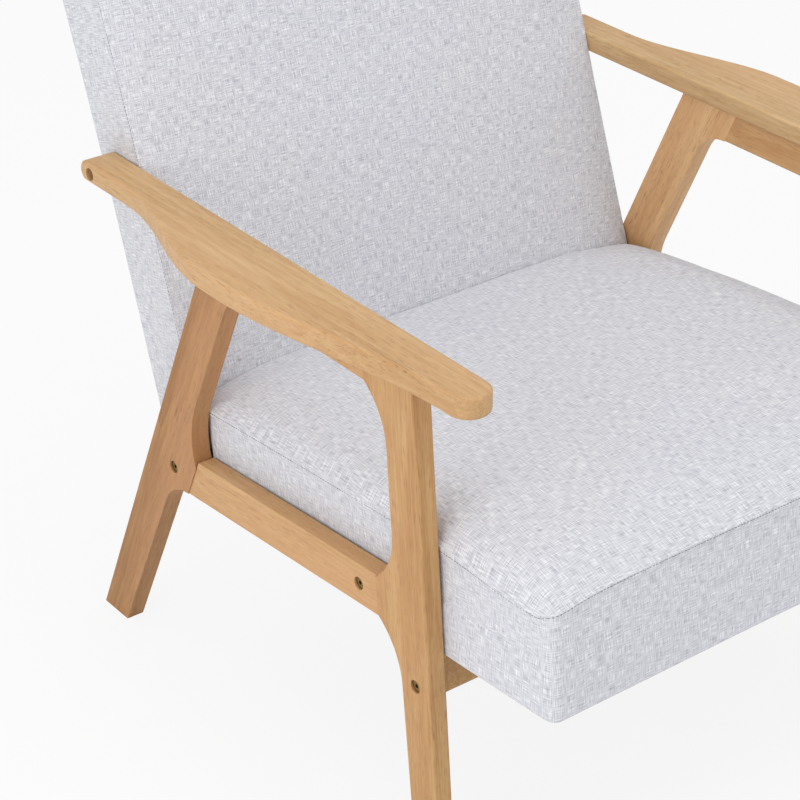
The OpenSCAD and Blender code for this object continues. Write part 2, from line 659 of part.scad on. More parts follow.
module seat_corner_blocks() {
    leg = 60;
    outline = [[0, 0], [-leg, 0], [0, leg]];
    color(pine) for (side = sides) seat_place() mirror([side < 0 ? 1 : 0, 0, 0]) {
        translate([seat_frame_x - seat_rail_t, seat_in + seat_rail_t, frame_low])
            linear_extrude(seat_frame_h * 0.7) polygon(outline);
        translate([seat_frame_x - seat_rail_t, middle_y, frame_low])
            linear_extrude(seat_frame_h * 0.7) polygon([for (p = outline) [p[0], -p[1]]]);
    }
}
module seat_webbing() {
    first = seat_in + seat_rail_t + 8 + strap_w / 2;
    last = middle_y - 8 - strap_w / 2;
    color(black_cloth) seat_place() for (i = [0:seat_straps - 1])
        translate([-seat_frame_x, first + (last - first) * i / (seat_straps - 1) - strap_w / 2, frame_top])
            cube([2 * seat_frame_x, strap_w, strap_t]);
}

// Back cushion, drawn lying on its rear face, then stood on the seat's ledge
module back_stand() {
    back_place() multmatrix([[1, 0, 0, 0], [0, 0, -1, back_t], [0, 1, 0, 0], [0, 0, 0, 1]]) children();
}
function back_wall(h, e) = [h, e, sole(back_t - h), back_len, 0, 0, back_corner_r];
back_seam = back_t - back_crown;
function back_walls(e) = [
    back_wall(e, cover_lip),
    back_wall(e, e + edge_r),
    back_wall(e + edge_r * 0.3, e + edge_r * 0.3),
    back_wall(e + edge_r, e),
    back_wall(back_t / 2, e),
    back_wall(back_seam - seam_band, e),
    back_wall(back_seam - e, e + seam_dip)];
arm_waist = turn(to_seat(arm_bolt) - back_origin, lean)[1];
back_form = [back_x, back_draw, arm_waist, back_len, 0];
function back_rings(walls, e) = concat(
    wall_rings(walls, back_form),
    top_rings(back_seam + seam_dip, e, sole(back_crown), back_len, back_corner_r, back_form,
        back_crown, end_power, 0, 0));
module back_cover() {
    color(cloth) difference() {
        back_stand() cover_form(back_rings(back_walls(0), 0), back_rings(back_walls(cover_t), cover_t));
        for (side = sides) rod_x(side, arm_bolt, back_frame_x - 1, arm_x, shank_d + shank_gap);
        back_bolt_holes(ledge_h, back_insert_low, shank_d + shank_gap);
    }
}
back_frame_h = back_t - back_frame_in;
panel_t = 0.9;
panel_in = 8;
module back_foam() {
    low = back_frame_h + strap_t + soft_gap;
    walls = back_walls(foam_in);
    color(foam_yellow) back_stand()
        ring_solid(back_rings([back_wall(low, foam_in), walls[5], walls[6]], foam_in));
}
// A board across the back between two depths, from its underside up to a height or down from its top
module back_board(low_x, high_x, near, far, bottom, top) {
    back_place() translate([low_x, 0, 0]) rotate([90, 0, 90]) linear_extrude(high_x - low_x)
        polygon([[near, bottom + sole(near)], [far, bottom + sole(far)], [far, top], [near, top]]);
}
module back_rear_foam() {
    color(foam_yellow) back_board(edge_r - back_frame_x, back_frame_x - edge_r,
        back_frame_in + back_frame_t + soft_gap, back_t - foam_in, back_in + edge_r, back_len - back_in);
}
module back_rear_panel() {
    color(cloth) back_board(panel_in - back_x, back_x - panel_in, back_t + soft_gap,
        back_t + soft_gap + panel_t, panel_in, back_len - panel_in);
}

// Back frame: two stiles and three rails between them
back_top = back_len - back_in;
back_far = back_frame_in + back_frame_t;
stile_in = back_frame_x - stile_w;
module back_stiles() {
    color(pine) difference() {
        for (side = sides) back_board(side > 0 ? stile_in : -back_frame_x,
            side > 0 ? back_frame_x : -stile_in, back_frame_in, back_far, back_in, back_top);
        for (side = sides) rod_x(side, arm_bolt, back_frame_x - insert_len - soft_gap, arm_x, insert_d + fit_gap);
    }
}
module back_rail(low) {
    color(pine) back_place() translate([-stile_in, back_frame_in, low])
        cube([2 * stile_in, back_frame_t, stile_w]);
}
module back_top_rail() {
    back_rail(back_top - stile_w);
}
module back_middle_rail() {
    back_rail((back_top - stile_w) / 2);
}
module back_bottom_rail() {
    color(pine) difference() {
        back_board(-stile_in, stile_in, back_frame_in, back_far, back_in, back_in + sole(back_far) + stile_w);
        back_bolt_holes(ledge_h, back_insert_low + insert_len + soft_gap, insert_d + fit_gap);
    }
}
module back_webbing() {
    first = back_in + sole(back_far) + stile_w + 20;
    last = back_top - stile_w - 20 - strap_w;
    color(black_cloth) back_stand() for (i = [0:back_straps - 1])
        translate([-back_frame_x, first + (last - first) * i / (back_straps - 1), back_frame_h])
            cube([2 * back_frame_x, strap_w, strap_t]);
}

// Dowels
module rail_dowels() {
    color(pine) for (side = sides) side_frame_dowels(side, dowel_d, dowel_len);
}
module armrest_dowels() {
    color(pine) for (side = sides) arm_dowels(side, dowel_d, arm_dowel_len);
}
module cross_rail_dowels() {
    color(pine) for (side = sides) cross_dowels(side, dowel_d, 0);
}

// Bolts with hexagonal sockets, their washers, and what they screw into
grip = insert_len - 2;
module armrest_bolts() {
    color(brass) for (side = sides)
        along_x(side, arm_bolt, arm_bolt_x) bolt(arm_bolt_x - back_frame_x + grip);
}
module seat_bolts() {
    color(brass) for (side = sides) {
        along_x(side, rear_bolt, leg_bolt_x) bolt(leg_bolt_x - seat_frame_x + grip);
        along_x(side, side_bolt, rail_bolt_x) bolt(rail_bolt_x - seat_frame_x + grip);
    }
}
module cross_rail_bolts() {
    color(brass) for (side = sides)
        along_x(side, cross_bolt, leg_bolt_x) bolt(leg_bolt_x - barrel_x + barrel_d * 0.7);
}
module back_bolts() {
    color(steel) for (side = sides)
        seat_place() translate([side * back_bolt_x, back_bolt_y, back_bolt_low]) rotate([180, 0, 0])
            bolt(back_insert_low - back_bolt_low + grip);
}
module bolt_washers() {
    color(brass) for (side = sides) {
        along_x(side, arm_bolt, arm_bolt_x) sleeve(washer_d, 0, washer_t);
        along_x(side, rear_bolt, leg_bolt_x) sleeve(washer_d, 0, washer_t);
        along_x(side, side_bolt, rail_bolt_x) sleeve(washer_d, 0, washer_t);
        along_x(side, cross_bolt, leg_bolt_x) sleeve(washer_d, 0, washer_t);
        seat_place() translate([side * back_bolt_x, back_bolt_y, back_bolt_low]) rotate([180, 0, 0])
            sleeve(washer_d, 0, washer_t);
    }
}
module seat_inserts() {
    color(steel) for (side = sides, at = seat_bolt_places)
        along_x(side, at, seat_frame_x) sleeve(insert_d, -insert_len, 0);
}
module back_inserts() {
    color(steel) for (side = sides) {
        along_x(side, arm_bolt, back_frame_x) sleeve(insert_d, -insert_len, 0);
        seat_place() translate([side * back_bolt_x, back_bolt_y, back_insert_low])
            sleeve(insert_d, 0, insert_len);
    }
}
module barrel_nuts() {
    color(steel) for (side = sides) difference() {
        seat_place() translate([side * barrel_x, cross_place[0] - barrel_len / 2, cross_place[1]])
            rotate([-90, 0, 0]) cylinder(d = barrel_d, h = barrel_len, $fn = round_fn);
        rod_x(side, cross_bolt, barrel_x - barrel_d, inner_x, shank_d + fit_gap);
    }
}

// Left and right pieces
module left_armrest() {
    armrest(-1);
}
module right_armrest() {
    armrest(1);
}
module left_rear_leg() {
    rear_leg(-1);
}
module right_rear_leg() {
    rear_leg(1);
}
module left_front_leg() {
    front_leg(-1);
}
module right_front_leg() {
    front_leg(1);
}
module left_upper_rail() {
    upper_rail(-1);
}
module right_upper_rail() {
    upper_rail(1);
}
module left_side_rail() {
    side_rail(-1);
}
module right_side_rail() {
    side_rail(1);
}

// The chair's reach in y sets the origin under its middle
chair_front = min([for (ring = seat_rings(seat_walls(0), 0), p = ring) from_seat([p[1], p[2]])[0]]);
chair_rear = max(concat([0, from_back([back_t + soft_gap + panel_t, back_len - panel_in])[0]],
    [for (ring = back_rings(back_walls(0), 0), p = ring) from_back([back_t - p[2], p[1]])[0]]));
y_shift = -(chair_front + chair_rear) / 2;

left_armrest();
right_armrest();
left_rear_leg();
right_rear_leg();
left_front_leg();
right_front_leg();
left_upper_rail();
right_upper_rail();
left_side_rail();
right_side_rail();
front_cross_rail();
rail_dowels();
armrest_dowels();
cross_rail_dowels();
seat_side_rails();
seat_front_rail();
seat_middle_rail();
seat_rear_rail();
seat_corner_blocks();
seat_webbing();
seat_foam();
seat_cover();
seat_dust_cover();
back_stiles();
back_top_rail();
back_middle_rail();
back_bottom_rail();
back_webbing();
back_foam();
back_rear_foam();
back_cover();
back_rear_panel();
armrest_bolts();
seat_bolts();
cross_rail_bolts();
back_bolts();
bolt_washers();
seat_inserts();
back_inserts();
barrel_nuts();
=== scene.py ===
import math
import random
from collections import namedtuple
import bmesh
import bpy
from mathutils import Matrix, Vector, noise


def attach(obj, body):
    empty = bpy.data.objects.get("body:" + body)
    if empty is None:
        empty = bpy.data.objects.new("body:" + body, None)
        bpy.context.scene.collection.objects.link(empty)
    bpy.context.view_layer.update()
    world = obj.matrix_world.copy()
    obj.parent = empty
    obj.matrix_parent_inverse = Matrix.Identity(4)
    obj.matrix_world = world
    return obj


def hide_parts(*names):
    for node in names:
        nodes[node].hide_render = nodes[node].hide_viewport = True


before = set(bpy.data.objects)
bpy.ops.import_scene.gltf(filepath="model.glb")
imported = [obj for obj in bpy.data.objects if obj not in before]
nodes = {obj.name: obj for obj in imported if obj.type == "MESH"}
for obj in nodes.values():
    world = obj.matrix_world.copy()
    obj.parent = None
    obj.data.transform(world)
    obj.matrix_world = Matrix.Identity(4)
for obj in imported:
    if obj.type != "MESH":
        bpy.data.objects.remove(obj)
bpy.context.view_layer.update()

MM = 0.001

# Sizes of the side frames, in mm and radians. Left is -X, and the chair faces -Y.
FRAME_W = 660  # over the outer faces
FRAME_T = 21  # thickness of a leg
FOOT_SPAN = 625  # from the rear foot's back edge to the front foot's front edge
REAR_RAKE = math.radians(24.2)  # from upright
REAR_BLANK_W = 84  # level, from a rear leg's back edge to its joints with the rails
FRONT_RAKE = math.radians(4.8)  # from upright
FRONT_BLANK_W = 76  # from a front leg's front edge to its joints with the rails
SIDE_RAIL_H = 45.5
SIDE_RAIL_Z = 312  # top edge of a side rail at its front joint
RAIL_SLOPE = math.radians(4.5)
EDGE_R = 2.6  # rounding of the wooden edges
SIDE_RAIL_EDGE_R = 2.0

# Sizes of the armrests; distances along them are from the rear end
ARM_UNDER_Z = 553.5
ARM_T = 22.5
ARM_IN = 4.5  # how far they stand in over the side frames
ARM_LEN = 642.5
ARM_REAR_W = 38.5
ARM_MAX_W = 82
ARM_FRONT_W = 43
ARM_FLARE_FROM = 88
ARM_FLARE_LEN = 200
ARM_TAPER_FROM = 315
ARM_TAPER_LEN = 305
ARM_EDGE_R = 3.5
ARM_REAR_R = 4  # rear corners, seen from above
ARM_REAR_RUN = 80  # length over which the mesh takes up the rear end's roundness
ARM_BOLT_IN = 19.5
ARM_BOLT_DOWN = 1  # under the armrest's middle
ARM_BOLT_DEEP = 42.3  # behind the back's front face
ARM_MOUTH_DEEP = 22
MOUTH_D = 14
SHANK_HOLE_D = 6.8

# Sizes of the seat
SOFT_GAP = 0.3  # between soft pieces and what they lie against
SEAT_FRONT_Y = 760.5  # from the front face to the rear foot's back edge
SEAT_H = 105  # from the underside to the seam at the front corners
SEAT_BOW = 11  # further rise of the seam between its corners
SEAT_DIP_RUN = 110  # distance over which the side seams dip to the front corners
SEAT_CROWN = 31  # from the seam to the top
SEAT_REST_DROP = 12  # how much lower the top is under the back
SEAT_DRAW = 2  # how far the sides draw in
SEAT_SETBACK = 4  # how far the front face leans back at the seam
SEAT_LEDGE = 84  # length of the ledge that the back stands on
SEAT_LEDGE_H = 59.6
SEAT_CORNER_R = 12
SEAT_SEAM_R = 22  # corners at the seam
SEAT_EDGE_R = 2.5
SEAT_BOLT_UP = 43  # from the underside to the side rails' middle line

# Sizes of the back
BACK_RAKE = math.radians(19.85)  # from upright
BACK_FACE_Y = 300.5  # from the front face, carried down to the floor, to the rear foot's back edge
BACK_T = 84
BACK_LEN = 540
BACK_CROWN = 7  # from the seam to the front face's middle
BACK_DRAW = 3  # how far the sides draw in between the armrests
BACK_CORNER_R = 22
BACK_EDGE_R = 4

# Distances from the chair's middle
INNER_X = FRAME_W / 2 - FRAME_T
ARM_X = INNER_X - ARM_IN
SEAT_X = INNER_X - SOFT_GAP
BACK_X = ARM_X - SOFT_GAP + BACK_DRAW

# Places in the side view, with y from the rear feet's back edge, which lies at REAR_Y in the frame
REAR_Y = max(v.co.y for v in nodes["left_rear_leg"].data.vertices if v.co.z < 0.1 * MM) / MM
SIDE_JOINT_Y = -FOOT_SPAN + SIDE_RAIL_Z * math.tan(FRONT_RAKE) + FRONT_BLANK_W / math.cos(FRONT_RAKE)
SEAT_FRONT_Z = (SIDE_RAIL_Z + (SIDE_JOINT_Y + SEAT_FRONT_Y) * math.tan(RAIL_SLOPE)
                - (SIDE_RAIL_H / 2 + SEAT_BOLT_UP) / math.cos(RAIL_SLOPE))
ARM_BOLT_Z = ARM_UNDER_Z + ARM_T / 2 - ARM_BOLT_DOWN
ARM_BOLT_Y = ARM_BOLT_Z * math.tan(BACK_RAKE) - BACK_FACE_Y + ARM_BOLT_DEEP / math.cos(BACK_RAKE)
ARM_REAR_Y = ARM_BOLT_Y + ARM_BOLT_IN

# The back's front face, measured in the seat's frame, from the seat's lower front edge
LEAN = BACK_RAKE - RAIL_SLOPE
FACE_RUN = math.tan(LEAN)
FACE_BASE = ((SEAT_FRONT_Y - BACK_FACE_Y + SEAT_FRONT_Z * math.tan(BACK_RAKE))
             / (math.cos(RAIL_SLOPE) + math.sin(RAIL_SLOPE) * math.tan(BACK_RAKE)))
SEAT_LEN = round(FACE_BASE + SEAT_LEDGE_H * FACE_RUN + SEAT_LEDGE, 2)
BACK_FOOT_H = SEAT_LEDGE_H + SOFT_GAP
BACK_SEAM = BACK_T - BACK_CROWN


def spot(x, y, z):
    """A point of the side view in the frame's metres."""
    return Vector((x, REAR_Y + y, z)) * MM


# Frames of the seat and the back: y runs back from the front face, z up from the lower edge
SEAT_FRAME = Matrix.Translation(spot(0, -SEAT_FRONT_Y, SEAT_FRONT_Z)) @ Matrix.Rotation(-RAIL_SLOPE, 4, "X")
BACK_FOOT = Vector((0, FACE_BASE + BACK_FOOT_H * FACE_RUN, BACK_FOOT_H)) * MM
BACK_FRAME = SEAT_FRAME @ Matrix.Translation(BACK_FOOT) @ Matrix.Rotation(-LEAN, 4, "X")
BACK_WAIST = (BACK_FRAME.inverted() @ spot(0, ARM_BOLT_Y, ARM_BOLT_Z)).z / MM

# The back cushion's frame: y runs up the back, z forwards from its rear
LYING_BACK = BACK_FRAME @ Matrix(((1, 0, 0, 0), (0, 0, -1, BACK_T * MM), (0, 1, 0, 0), (0, 0, 0, 1)))


# Materials
def srgb(r, g, b):
    def linear(c):
        c /= 255
        return c / 12.92 if c <= 0.04045 else ((c + 0.055) / 1.055) ** 2.4
    return (linear(r), linear(g), linear(b), 1)


# Each wood's light colour and that of its darker grain
OAK = srgb(207, 169, 118), srgb(176, 130, 80)
LEFT_LEG_OAK = srgb(184, 138, 88), srgb(146, 99, 55)
# The right rear leg's oak is painted lighter: painted light on its inner face, which the lamps here light
# too little.
RIGHT_LEG_OAK_WITH_PAINTED_LIGHT = srgb(230, 191, 142), srgb(202, 156, 106)
# The side rails' oak is painted lighter: painted light on rails that lie in shade under the seat.
SIDE_RAIL_OAK_WITH_PAINTED_LIGHT = srgb(219, 184, 136), srgb(190, 148, 99)
ARMREST_OAK = srgb(211, 181, 137), srgb(180, 143, 96)
PINE = srgb(222, 196, 150), srgb(200, 168, 118)
FLUSH = srgb(200, 150, 104)
PORE = srgb(118, 76, 42)

LINEN_LIGHT = srgb(238, 239, 243)
LINEN_DARK = srgb(160, 161, 170)


class Shader:
    """A material's node tree, with short calls for the nodes used here."""

    def __init__(self, name):
        self.mat = bpy.data.materials.new(name)
        self.mat.use_nodes = True
        self.tree = self.mat.node_tree
        self.bsdf = self.tree.nodes["Principled BSDF"]

    def node(self, kind, **props):
        n = self.tree.nodes.new(kind)
        for key, value in props.items():
            setattr(n, key, value)
        return n

    def put(self, socket, value):
        if isinstance(value, bpy.types.NodeSocket):
            self.tree.links.new(value, socket)
        else:
            socket.default_value = value

    def finish(self, colour, rough, height, strength, distance, metal=0.0):
        """Gives the surface its looks, with a bump of distance metres where height goes from 0 to 1."""
        bump = self.node("ShaderNodeBump")
        self.put(bump.inputs["Strength"], strength)
        self.put(bump.inputs["Distance"], distance)
        self.put(bump.inputs["Height"], height)
        self.put(self.bsdf.inputs["Normal"], bump.outputs[0])
        self.put(self.bsdf.inputs["Base Color"], colour)
        self.put(self.bsdf.inputs["Roughness"], rough)
        self.put(self.bsdf.inputs["Metallic"], metal)

    def math(self, op, a, b, c=0.0):
        n = self.node("ShaderNodeMath", operation=op)
        for socket, value in zip(n.inputs, (a, b, c)):
            self.put(socket, value)
        return n.outputs[0]

    def mix(self, share, a, b):
        n = self.node("ShaderNodeMix", data_type="RGBA")
        self.put(n.inputs["Factor"], share)
        self.put(n.inputs[6], a)
        self.put(n.inputs[7], b)
        return n.outputs[2]

    def ramp(self, value, start, end, low=0.0, high=1.0):
        n = self.node("ShaderNodeMapRange", clamp=True)
        for socket, v in zip(n.inputs, (value, start, end, low, high)):
            self.put(socket, v)
        return n.outputs[0]

    def noise(self, place, scale, detail=2, rough=0.5, distort=0.0):
        n = self.node("ShaderNodeTexNoise")
        self.put(n.inputs["Vector"], place)
        self.put(n.inputs["Scale"], scale)
        self.put(n.inputs["Detail"], detail)
        self.put(n.inputs["Roughness"], rough)
        self.put(n.inputs["Distortion"], distort)
        return n.outputs[0]

    def bands(self, place, scale, distort, detail, detail_scale):
        """Saw-toothed bands across X, as growth rings make them."""
        n = self.node("ShaderNodeTexWave", wave_type="BANDS", bands_direction="X", wave_profile="SAW")
        self.put(n.inputs["Vector"], place)
        self.put(n.inputs["Scale"], scale)
        self.put(n.inputs["Distortion"], distort)
        self.put(n.inputs["Detail"], detail)
        self.put(n.inputs["Detail Scale"], detail_scale)
        return n.outputs["Fac"]

    def mapped(self, place, scale=(1, 1, 1), turn=(0, 0, 0), move=(0, 0, 0)):
        n = self.node("ShaderNodeMapping")
        self.put(n.inputs["Vector"], place)
        self.put(n.inputs["Location"], move)
        self.put(n.inputs["Rotation"], turn)
        self.put(n.inputs["Scale"], scale)
        return n.outputs[0]


def wood(name, lean, seed, light, dark, rings=1.0):
    """Wood with its grain along Y, tipped by lean about X."""
    s = Shader(name)
    coord = s.node("ShaderNodeTexCoord").outputs["Object"]
    rnd = random.Random(seed)
    move = tuple(rnd.uniform(-3, 3) for _ in range(3))
    turned = s.mapped(coord, turn=(lean, 0, 0))
    long = s.mapped(turned, move=move, scale=(1, 0.08, 1))
    fine = s.mapped(turned, move=move, scale=(1, 0.055, 1))
    ringed = s.mapped(turned, move=move, scale=(1, 0.08, 0.7))

    broad = s.noise(long, scale=22, distort=0.8)
    streak = s.noise(fine, scale=300, detail=3, rough=0.6, distort=0.2)
    band = s.bands(ringed, scale=22, distort=8 * rings, detail=2.5, detail_scale=1.1)
    tone = s.math("ADD", s.math("MULTIPLY", broad, 0.85), s.math("MULTIPLY", band, 0.13))
    tone = s.math("ADD", tone, s.math("MULTIPLY", streak, 0.75))
    tone = s.ramp(tone, 0.56, 1.06)
    flush = s.ramp(s.noise(long, scale=9, distort=0.4), 0.42, 0.66, high=0.5)
    pores = s.ramp(s.noise(fine, scale=1150, detail=1), 0.58, 0.70)
    patches = s.ramp(s.noise(long, scale=45), 0.32, 0.66, low=0.15)

    colour = s.mix(flush, s.mix(tone, light, dark), FLUSH)
    colour = s.mix(s.math("MULTIPLY", pores, s.math("MULTIPLY", patches, 0.5)), colour, PORE)
    height = s.math("SUBTRACT", s.math("MULTIPLY", streak, 0.5), pores)
    s.finish(colour, 0.46, height, strength=0.25, distance=0.3 * MM)
    s.put(s.bsdf.inputs["Specular IOR Level"], 0.32)
    return s.mat


def linen(name):
    """A plain-woven melange cloth: streaks of light and dark along the threads of both directions.

    The UV map gives the threads' directions, in metres.
    """
    streaks_per_m, stretch, contrast = 1450, 0.058, 0.95
    s = Shader(name)
    uv = s.node("ShaderNodeUVMap", uv_map="threads").outputs["UV"]
    warp = s.noise(s.mapped(uv, scale=(1, stretch, 1)), streaks_per_m, detail=0)
    weft = s.noise(s.mapped(uv, scale=(stretch, 1, 1), move=(3, 7, 0)), streaks_per_m, detail=0)
    share = s.math("MULTIPLY_ADD", warp, contrast, 0.5 - contrast)
    share = s.math("MULTIPLY_ADD", weft, contrast, share)
    colour = s.mix(s.ramp(share, 0, 1), LINEN_LIGHT, LINEN_DARK)
    s.finish(colour, 0.92, s.math("ADD", warp, weft), strength=0.2, distance=0.3 * MM)
    s.put(s.bsdf.inputs["Specular IOR Level"], 0.12)
    s.put(s.bsdf.inputs["Sheen Weight"], 0.15)
    s.put(s.bsdf.inputs["Sheen Roughness"], 0.5)
    return s.mat


def plain(name, colour, rough, grain, metal=0.0, scale=300):
    """One colour, up to a share of grain darker in spots."""
    s = Shader(name)
    coord = s.node("ShaderNodeTexCoord").outputs["Object"]
    spots = s.noise(coord, scale, detail=3, rough=0.6)
    dim = tuple(c * (1 - grain) for c in colour[:3]) + (1,)
    s.finish(s.mix(spots, colour, dim), rough, spots, strength=0.15, distance=0.2 * MM, metal=metal)
    return s.mat


linen_mat = linen("linen")
thread_mat = plain("thread", srgb(120, 121, 132), 0.8, 0.3)
brass_mat = plain("brass", srgb(150, 122, 70), 0.38, 0.35, metal=1.0, scale=900)
steel_mat = plain("steel", srgb(168, 170, 174), 0.35, 0.2, metal=1.0, scale=900)
pine_mat = wood("pine", 0, 40, *PINE)
webbing_mat = plain("webbing", srgb(60, 60, 62), 0.9, 0.3)
dust_mat = plain("dust_cloth", srgb(48, 48, 50), 0.95, 0.25, scale=1400)


# Wooden side frames and the cross rail between them
def upright_joint(y, lean):
    """The plane of a leg's joints with its rails: a point and a normal."""
    return spot(0, y, 0), Vector((0, math.cos(lean), math.sin(lean)))


SIDE_JOINTS = (upright_joint(-REAR_BLANK_W, REAR_RAKE),
               upright_joint(-FOOT_SPAN + FRONT_BLANK_W / math.cos(FRONT_RAKE), -FRONT_RAKE),
               (spot(0, 0, ARM_UNDER_Z), Vector((0, 0, 1))))
CROSS_JOINTS = tuple((spot(x, 0, 0), Vector((1, 0, 0))) for x in (-INNER_X, INNER_X))


def on_plane(point, plane):
    at, normal = plane
    return abs((point - at).dot(normal)) < 0.6 * MM


def weigh_edges(bm, joints):
    """Says how much each sharp edge is rounded: none at a glued joint, and a little round a bore."""
    weight = bm.edges.layers.float.new("bevel_weight_edge")
    for e in bm.edges:
        if len(e.link_faces) != 2 or e.calc_face_angle(0) < math.radians(35):
            continue
        glued = any(all(on_plane(v.co, plane) for v in e.verts) for plane in joints)
        bored = e.calc_length() < 2.2 * MM
        e[weight] = 0.0 if glued else 0.12 if bored else 1.0


def new_object(name, mesh, mat):
    mesh.materials.clear()
    mesh.materials.append(mat)
    obj = bpy.data.objects.new(name, mesh)
    bpy.context.collection.objects.link(obj)
    return obj


def mesh_of(bm, name):
    mesh = bpy.data.meshes.new(name)
    bm.to_mesh(mesh)
    bm.free()
    return mesh


def smooth_shade(mesh):
    for face in mesh.polygons:
        face.use_smooth = True


def even_normals(obj):
    mod = obj.modifiers.new("normals", "WEIGHTED_NORMAL")
    mod.weight = 100
    mod.keep_sharp = True


def wooden(node, mat, joints, edge_r=EDGE_R):
    """A piece with its solid's shape and softly rounded edges, except at its glued joints."""
    bm = bmesh.new()
    bm.from_mesh(nodes[node].data)
    bmesh.ops.remove_doubles(bm, verts=bm.verts, dist=0.02 * MM)
    bmesh.ops.dissolve_limit(bm, angle_limit=math.radians(0.6), verts=bm.verts, edges=bm.edges,
                             use_dissolve_boundaries=False)
    weigh_edges(bm, joints)
    mesh = mesh_of(bm, node + "_shown")
    smooth_shade(mesh)
    obj = new_object(node + "_shown", mesh, mat)
    bevel = obj.modifiers.new("edges", "BEVEL")
    bevel.limit_method = "WEIGHT"
    bevel.width = edge_r * MM
    bevel.segments = 3
    bevel.use_clamp_overlap = True
    even_normals(obj)
    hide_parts(node)
    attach(obj, "root")


def side_frame(side, seed, rear_oak):
    """The legs and rails of one side, each with its own grain along its length."""
    # The side rails take oak painted lighter, as painted light.
    parts = (("rear_leg", math.pi / 2 - REAR_RAKE, rear_oak, EDGE_R),
             ("front_leg", math.pi / 2 + FRONT_RAKE, OAK, EDGE_R),
             ("upper_rail", 0, OAK, EDGE_R),
             ("side_rail", RAIL_SLOPE, SIDE_RAIL_OAK_WITH_PAINTED_LIGHT, SIDE_RAIL_EDGE_R))
    for i, (part, lean, tones, edge_r) in enumerate(parts):
        name = side + "_" + part
        wooden(name, wood(name, lean, seed + i, *tones), SIDE_JOINTS, edge_r)


side_frame("left", 1, LEFT_LEG_OAK)
# The right rear leg gets oak painted lighter, as painted light.
side_frame("right", 7, RIGHT_LEG_OAK_WITH_PAINTED_LIGHT)
wooden("front_cross_rail", wood("cross_rail", 0, 13, *OAK), CROSS_JOINTS)


# Armrests
def smooth_step(t):
    t = min(1.0, max(0.0, t))
    return t * t * (3 - 2 * t)


def arm_width(a):
    """Width at a distance from the rear end: it flares out, then tapers to the front."""
    flare = (ARM_MAX_W - ARM_REAR_W) * smooth_step((a - ARM_FLARE_FROM) / ARM_FLARE_LEN)
    taper = (ARM_MAX_W - ARM_FRONT_W) * smooth_step((a - ARM_TAPER_FROM) / ARM_TAPER_LEN)
    return ARM_REAR_W + flare - taper


def arm_plan():
    """The armrest seen from above: (distance from the rear end, distance out from the inner edge)."""
    inner_steps, nose_steps, outer_steps = 60, 40, 150
    r, c = ARM_FRONT_W / 2, ARM_REAR_R
    nose = ARM_LEN - r
    corner = [math.radians(30 * i) for i in range(4)]
    turn = [math.radians(180 * i / nose_steps - 90) for i in range(nose_steps + 1)]
    outer = [nose * (1 - i / outer_steps) for i in range(1, outer_steps - 2)]
    plan = [(c * (1 - math.sin(t)), c * (1 - math.cos(t))) for t in reversed(corner)]
    plan += [(nose * i / inner_steps, 0) for i in range(2, inner_steps)]
    plan += [(nose + r * math.cos(t), r + r * math.sin(t)) for t in turn]
    plan += [(a, arm_width(a)) for a in outer]
    plan += [(c * (1 - math.sin(t)), arm_width(0) - c * (1 - math.cos(t))) for t in corner]
    return [Vector(p) for p in plan]


def arm_levels():
    """Rings from the underside to the top: (how far set in, height from the middle)."""
    half, r = ARM_T / 2, ARM_EDGE_R
    lower = [(r * (1 - math.sin(t)), r * (1 - math.cos(t)) - half)
             for t in [math.radians(15 * i) for i in range(7)]]
    return lower + [(0, z) for z in (-5, -2.5, 0, 2.5, 5)] + [(inset, -z) for inset, z in reversed(lower)]


def join_rings(bm, rings):
    for lower, upper in zip(rings, rings[1:]):
        for i in range(len(lower)):
            j = (i + 1) % len(lower)
            bm.faces.new((lower[i], lower[j], upper[j], upper[i]))


def arm_mesh(side):
    """The armrest's skin. Its rear end is round as seen from the side."""
    plan = arm_plan()
    n = len(plan)
    half = ARM_T / 2
    inward = []
    for i in range(n):
        along = (plan[(i + 1) % n] - plan[i - 1]).normalized()
        inward.append(Vector((-along.y, along.x)))
    bm = bmesh.new()
    rings = []
    for inset, z in arm_levels():
        start = half - math.sqrt(max(0, half * half - z * z))
        ring = []
        for p, normal in zip(plan, inward):
            a, o = p + normal * inset
            if a <= ARM_REAR_RUN:
                a = start + a * (ARM_REAR_RUN - start) / ARM_REAR_RUN
            ring.append(bm.verts.new(spot(side * (ARM_X + o), ARM_REAR_Y - a, ARM_UNDER_Z + half + z)))
        rings.append(ring)
    join_rings(bm, rings)
    bm.faces.new(rings[0][::-1])
    bm.faces.new(rings[-1])
    bmesh.ops.recalc_face_normals(bm, faces=bm.faces)
    return mesh_of(bm, "armrest")


def bore(obj, radius, side, x0, x1):
    """A level round hole through the armrest bolt's place, from x0 to x1 out from the middle."""
    bm = bmesh.new()
    bmesh.ops.create_cone(bm, cap_ends=True, segments=64, radius1=radius * MM, radius2=radius * MM,
                          depth=(x1 - x0) * MM)
    cut = bpy.data.objects.new("cut", mesh_of(bm, "cut"))
    bpy.context.collection.objects.link(cut)
    middle = spot(side * (x0 + x1) / 2, ARM_BOLT_Y, ARM_BOLT_Z)
    cut.matrix_world = Matrix.Translation(middle) @ Matrix.Rotation(math.pi / 2, 4, "Y")
    mod = obj.modifiers.new("bore", "BOOLEAN")
    mod.operation = "DIFFERENCE"
    mod.solver = "EXACT"
    mod.object = cut
    bpy.context.view_layer.update()
    apply_modifiers(obj)
    bpy.data.objects.remove(cut)


def apply_modifiers(obj):
    done = bpy.data.meshes.new_from_object(obj.evaluated_get(bpy.context.evaluated_depsgraph_get()))
    obj.modifiers.clear()
    obj.data = done


